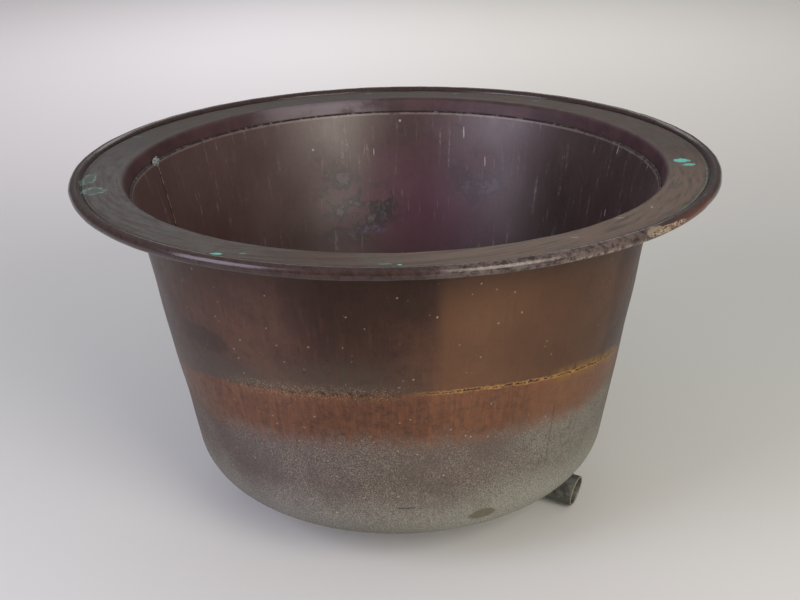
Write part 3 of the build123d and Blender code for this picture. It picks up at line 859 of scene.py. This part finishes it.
# Wrought iron burnt by many fires: black scale and soot, with brown rust in 20 mm clouds.
burnt_iron, tree, shader = new_finish("fire_scaled_iron", 0.4, 0.75)
point = add_node(tree, "ShaderNodeTexCoord", {}, {}, "Object")
clouds = add_noise(tree, point, 45, 7, 0.7)
flakes = add_noise(tree, point, 280, 5, 0.7)
iron = paint(tree, "#2b2725", "#5e4234", (clouds, 0.45, 0.62))
iron = paint(tree, iron, "#7a5238", (flakes, 0.52, 0.66), 0.5)
iron = paint(tree, iron, "#8b857d", (flakes, 0.66, 0.74), 0.4)
tree.links.new(iron, shader.inputs["Base Color"])
add_relief(tree, shader, flakes, 0.6, 0.001)

RING_OUTSIDE = 0.2398
RING_INSIDE = 0.2342
GRATE_TOP = 0.130
BAR = 0.012
BAR_PITCH = 0.040
CROSS_BAR_OFFSET = 0.120
SCALED_OFF = 0.0004
HAMMER_STEP = 0.008
BAR_ROUND = 0.0012
RING_ROUND = 0.001
RING_WORN = 0.0002

hammer = bpy.data.textures.new("hammer_marks", "CLOUDS")
hammer.noise_scale = 0.02


def forge_bar(name, centre, length, along):
    """A square bar with rounded edges and hammer marks, along X or Y."""
    bpy.ops.object.select_all(action="DESELECT")
    bpy.ops.mesh.primitive_cube_add(size=1, location=centre)
    bar = bpy.context.active_object
    bar.name = name
    side = 0 if along == "X" else 1
    bar.scale = (BAR - SCALED_OFF, BAR - SCALED_OFF, BAR - SCALED_OFF)
    bar.scale[side] = length
    bpy.ops.object.transform_apply(location=True, rotation=True, scale=True)
    bpy.ops.object.mode_set(mode="EDIT")
    bpy.ops.mesh.select_all(action="SELECT")
    bpy.ops.mesh.bevel(offset=BAR_ROUND, segments=2, affect="EDGES")
    cuts = int(length / HAMMER_STEP)
    for i in range(1, cuts):
        place = list(centre)
        place[side] += length * (i / cuts - 0.5)
        bpy.ops.mesh.select_all(action="SELECT")
        bpy.ops.mesh.bisect(plane_co=place, plane_no=(1, 0, 0) if along == "X" else (0, 1, 0))
    bpy.ops.object.mode_set(mode="OBJECT")
    apply_modifier(
        bar, "DISPLACE", texture=hammer, texture_coords="LOCAL", strength=0.0008, mid_level=0.6)
    bar.data.materials.append(burnt_iron)
    smooth(bar, 30)
    return bar


def copy_moved(piece, name, offset):
    """Copies a piece, with a mesh of its own, and moves the copy."""
    select_only(piece)
    bpy.ops.object.duplicate(linked=False)
    twin = bpy.context.active_object
    twin.name = name
    twin.location = offset
    bpy.ops.object.transform_apply(location=True, rotation=True, scale=True)
    return twin


bars = {}
for number in range(1, 7):
    x = (number - 6) * BAR_PITCH
    reach = 2 * math.sqrt(RING_INSIDE ** 2 - (abs(x) + BAR / 2) ** 2)
    name = f"grate_bar_{number}"
    bars[name] = forge_bar(name + "_forged", (x, 0, GRATE_TOP - BAR / 2), reach, "Y")
for number in range(7, 12):
    name, twin = f"grate_bar_{number}", f"grate_bar_{12 - number}"
    bars[name] = copy_moved(bars[twin], name + "_forged", (2 * (number - 6) * BAR_PITCH, 0, 0))
reach = 2 * math.sqrt(RING_INSIDE ** 2 - (CROSS_BAR_OFFSET + BAR / 2) ** 2)
place = (0, -CROSS_BAR_OFFSET, GRATE_TOP - 1.5 * BAR)
front = forge_bar("grate_cross_bar_front_forged", place, reach, "X")
bars["grate_cross_bar_front"] = front
offset = (0, 2 * CROSS_BAR_OFFSET, 0)
bars["grate_cross_bar_rear"] = copy_moved(front, "grate_cross_bar_rear_forged", offset)
for name, bar in bars.items():
    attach(bar, "grate")
    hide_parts(name)

low, high = GRATE_TOP - 2 * BAR, GRATE_TOP
middle = (low + high) / 2
hoop_section = [
    (RING_OUTSIDE, low + RING_ROUND), (RING_OUTSIDE, middle), (RING_OUTSIDE, high - RING_ROUND),
    (RING_OUTSIDE - RING_ROUND, high - RING_WORN), (RING_INSIDE + RING_ROUND, high - RING_WORN),
    (RING_INSIDE, high - RING_ROUND), (RING_INSIDE, middle), (RING_INSIDE, low + RING_ROUND),
    (RING_INSIDE + RING_ROUND, low + RING_WORN), (RING_OUTSIDE - RING_ROUND, low + RING_WORN),
    (RING_OUTSIDE, low + RING_ROUND)]
hoop = draw_profile("grate_ring_rolled", hoop_section)
spin_sheet(hoop, 360, 144)
apply_modifier(hoop, "DISPLACE", texture=hammer, texture_coords="LOCAL", strength=0.0006, mid_level=0.9)
hoop.data.materials.append(burnt_iron)
smooth(hoop, 50)
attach(hoop, "grate")
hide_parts("grate_ring")

LEG_REACH = (0.105, 0.120)
LEG_RADIUS = 0.007
LEG_FORGED = 0.0069
FOOT_GAP = 0.0003
ball_reach = DISH_RADIUS - PAN_SHEET - FOOT_GAP - LEG_RADIUS
foot_z = DISH_CENTRE - math.sqrt(ball_reach ** 2 - LEG_REACH[0] ** 2 - LEG_REACH[1] ** 2)
post = [(0.0, foot_z - LEG_RADIUS + 0.0001)]
for i in range(1, 9):
    swing = math.pi / 2 * i / 8
    post.append((LEG_FORGED * math.sin(swing), foot_z - LEG_FORGED * math.cos(swing)))
for i in range(1, 10):
    post.append((LEG_FORGED, foot_z + (low - foot_z) * i / 9))
post.append((0.0, low))
leg = draw_profile("grate_leg_forged", post)
spin_sheet(leg, 360, 24)
face_outwards(leg, away_from_axis)
leg.data.materials.append(burnt_iron)
smooth(leg, 50)
for number, (side_x, side_y) in enumerate(((-1, -1), (1, -1), (1, 1), (-1, 1)), 1):
    offset = (side_x * LEG_REACH[0], side_y * LEG_REACH[1], 0)
    standing = copy_moved(leg, f"grate_leg_{number}_forged", offset)
    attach(standing, "grate")
    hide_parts(f"grate_leg_{number}")
bpy.data.objects.remove(leg)

# ---------------------------------------------------------------------------------------------
# Floor, light and camera. Pale paper, lit by a large soft lamp on each side, another over the
# background, and a pale room.

paper, tree, shader = new_finish("pale_paper", 0.0, 0.9)
point = add_node(tree, "ShaderNodeTexCoord", {}, {}, "Object")
depth = add_node(tree, "ShaderNodeSeparateXYZ", {}, {0: point}, "Y")
across = add_node(tree, "ShaderNodeSeparateXYZ", {}, {0: point}, "X")
# Painted light: the paper is made lighter further back, and lighter and cooler on the left than on the
# right.
near = paint(tree, "#ced0ce", "#cdcfcc", (depth, -0.3, 0.3))
far = paint(tree, "#ebe7ea", "#dcd9d4", (across, -0.8, 0.8))
paper_with_painted_light = paint(tree, near, far, (depth, 0.2, 2.0))
tree.links.new(paper_with_painted_light, shader.inputs["Base Color"])
bpy.ops.object.select_all(action="DESELECT")
bpy.ops.mesh.primitive_plane_add(size=400, location=(0, 0, 0))
floor = bpy.context.active_object
floor.name = "floor"
floor.data.materials.append(paper)

scene = bpy.context.scene
scene.view_settings.view_transform = "Standard"
room = bpy.data.worlds.new("pale_room")
scene.world = room
room.use_nodes = True
sky_tree = room.node_tree
background = sky_tree.nodes["Background"]
direction = add_node(sky_tree, "ShaderNodeTexCoord", {}, {}, "Generated")
upward = add_node(sky_tree, "ShaderNodeSeparateXYZ", {}, {0: direction}, "Z")
sky = paint(sky_tree, "#7d7b7c", "#f4f3f3", (upward, 0.0, 0.9))
sky = paint(sky_tree, sky, "#b4b4b3", (upward, 0.06, 0.02))
sky_tree.links.new(sky, background.inputs["Color"])
background.inputs["Strength"].default_value = 0.55

for name, azimuth, rise, away, size, power, tint in (
    ("left_softbox", 214, 30, 2.3, (1.0, 1.4), 30, "#eee8ff"),
    ("right_softbox", 303, 30, 2.3, (1.0, 1.4), 36, "#fff4e6"),
    ("backdrop_softbox", 90, 35, 4.2, (3.0, 2.0), 44, "#ffffff"),
):
    turn, lift = math.radians(azimuth), math.radians(rise)
    level = math.cos(lift)
    place = Vector((math.cos(turn) * level, math.sin(turn) * level, math.sin(lift))) * away
    target = Vector((0, 4.0, 0)) if name == "backdrop_softbox" else Vector((0, 0, 0.3))
    bpy.ops.object.select_all(action="DESELECT")
    bpy.ops.object.light_add(type="AREA", location=place)
    lamp = bpy.context.active_object
    lamp.name = name
    lamp.visible_camera = False
    lamp.data.shape = "RECTANGLE"
    lamp.data.size, lamp.data.size_y = size
    lamp.data.energy = power
    lamp.data.color = colour(tint)[:3]
    lamp.rotation_euler = (target - place).to_track_quat("-Z", "Y").to_euler()

CAMERA_ROLL = math.radians(-1.24)
eye = Vector((0.0027, -1.3714, 0.8518))
aim = Vector((0.0027, 0.0, 0.2655))
bpy.ops.object.select_all(action="DESELECT")
bpy.ops.object.camera_add(location=eye)
camera = bpy.context.active_object
look = (aim - eye).to_track_quat("-Z", "Y").to_matrix() @ Matrix.Rotation(CAMERA_ROLL, 3, "Z")
camera.rotation_euler = look.to_euler()
camera.data.lens = 49.5
camera.data.sensor_width = 36
scene.camera = camera
